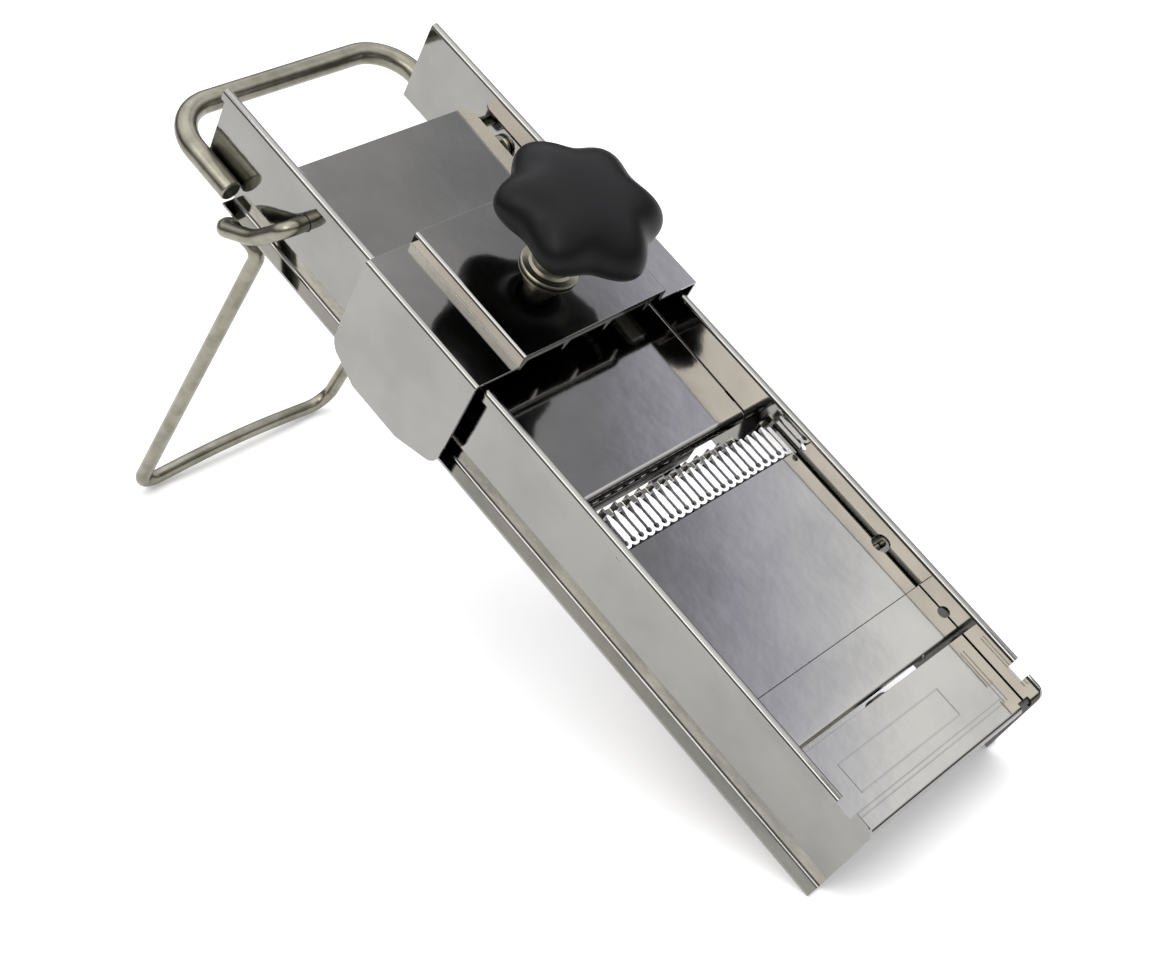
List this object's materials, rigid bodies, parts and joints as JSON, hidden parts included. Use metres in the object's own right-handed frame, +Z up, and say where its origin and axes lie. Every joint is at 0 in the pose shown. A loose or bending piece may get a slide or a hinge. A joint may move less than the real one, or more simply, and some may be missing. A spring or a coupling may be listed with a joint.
{
  "type": "mandoline slicer",
  "caption": "Stainless mandoline slicer on a folding wire stand, with adjustable ramps, a crinkle and a straight blade, and a sliding knob-topped food holder.",
  "frame": {"origin": "on the ground under the centre of the whole object, standing on its stand", "axes": "+Y from the low front end towards the carrying handle, +Z up, +X to the right"},
  "size_m": [0.1408, 0.433, 0.2283],
  "materials": {
    "mirror_steel": "polished",
    "blade_steel": "ground and polished",
    "wire_steel": "bright drawn",
    "inner_steel": "dull pressed",
    "black_plastic": "moulded satin",
    "pale_nylon": "moulded"
  },
  "bodies": {
    "frame": {"left_side_rail": "mirror_steel", "right_side_rail": "mirror_steel", "carry_handle": "wire_steel", "bed_plate": "mirror_steel", "crinkle_blade": "blade_steel", "straight_blade": "blade_steel", "crinkle_clamp_bar": "inner_steel", "crinkle_clamp_screw_left": "inner_steel", "crinkle_clamp_screw_right": "inner_steel", "straight_clamp_bar": "inner_steel", "straight_clamp_screw_left": "inner_steel", "straight_clamp_screw_right": "inner_steel", "bed_rivet_left": "wire_steel", "bed_rivet_right": "wire_steel", "front_cross_rod": "wire_steel", "middle_cross_rod": "wire_steel", "rear_cross_rod": "wire_steel", "upper_ramp_hinge_pin": "wire_steel", "front_ramp_hinge_pin": "wire_steel", "comb_pivot_pin": "wire_steel"},
    "upper_ramp": {"upper_ramp_plate": "mirror_steel", "upper_ramp_lug_left": "inner_steel", "upper_ramp_lug_right": "inner_steel"},
    "front_ramp": {"front_ramp_plate": "mirror_steel", "front_ramp_lug_left": "inner_steel", "front_ramp_lug_right": "inner_steel"},
    "upper_adjuster": {"upper_adjust_shaft": "wire_steel", "upper_lift_bar": "inner_steel", "upper_adjust_lever": "inner_steel", "upper_lever_grip": "black_plastic"},
    "front_adjuster": {"front_adjust_shaft": "wire_steel", "front_lift_bar": "inner_steel", "front_adjust_lever": "inner_steel", "front_lever_grip": "black_plastic"},
    "comb": {"comb_carrier": "inner_steel", "julienne_comb": "mirror_steel"},
    "carriage": {"carriage_cover": "mirror_steel", "left_top_glide": "pale_nylon", "right_top_glide": "pale_nylon", "left_under_runner": "pale_nylon", "right_under_runner": "pale_nylon", "guide_sleeve": "wire_steel", "guide_sleeve_nut": "inner_steel"},
    "pusher": {"star_knob": "black_plastic", "pusher_shaft": "wire_steel", "presser_plate": "mirror_steel", "shaft_nut": "inner_steel", "front_prong_strip": "mirror_steel", "rear_prong_strip": "mirror_steel"},
    "stand": {"stand_wire": "wire_steel", "stand_collar_left": "wire_steel", "stand_collar_right": "wire_steel"}
  },
  "joints": [
    {"name": "carriage_slide", "type": "slide", "parent": "frame", "child": "carriage", "axis": [0, 0.8695, 0.4939], "range_m": [-0.2, 0.026]},
    {"name": "pusher_press", "type": "slide", "parent": "carriage", "child": "pusher", "axis": [0, 0.4939, -0.8695], "range_m": [0, 0.006]},
    {"name": "stand_fold", "type": "hinge", "parent": "frame", "child": "stand", "pos_m": [0, 0.07304, 0.18279], "axis": [-1, 0, 0], "range_deg": [0, 50]},
    {"name": "upper_adjust", "type": "hinge", "parent": "frame", "child": "upper_adjuster", "pos_m": [0, -0.05373, 0.10572], "axis": [1, 0, 0], "range_deg": [0, 41]},
    {"name": "upper_ramp_tilt", "type": "hinge", "parent": "frame", "child": "upper_ramp", "pos_m": [0, 0.08762, 0.18993], "axis": [-1, 0, 0], "range_deg": [0, 2.25]},
    {"name": "front_adjust", "type": "hinge", "parent": "frame", "child": "front_adjuster", "pos_m": [0, -0.18485, 0.03284], "axis": [-1, 0, 0], "range_deg": [0, 50]},
    {"name": "front_ramp_tilt", "type": "hinge", "parent": "frame", "child": "front_ramp", "pos_m": [0, -0.20567, 0.02699], "axis": [-1, 0, 0], "range_deg": [0, 7.6]},
    {"name": "comb_lift", "type": "hinge", "parent": "frame", "child": "comb", "pos_m": [0, -0.10387, 0.07655], "axis": [1, 0, 0], "range_deg": [0, 12]}
  ],
  "couplings": [
    {"joint": "upper_ramp_tilt", "follows": "upper_adjust", "ratio": 0.0536},
    {"joint": "front_ramp_tilt", "follows": "front_adjust", "ratio": 0.15}
  ]
}
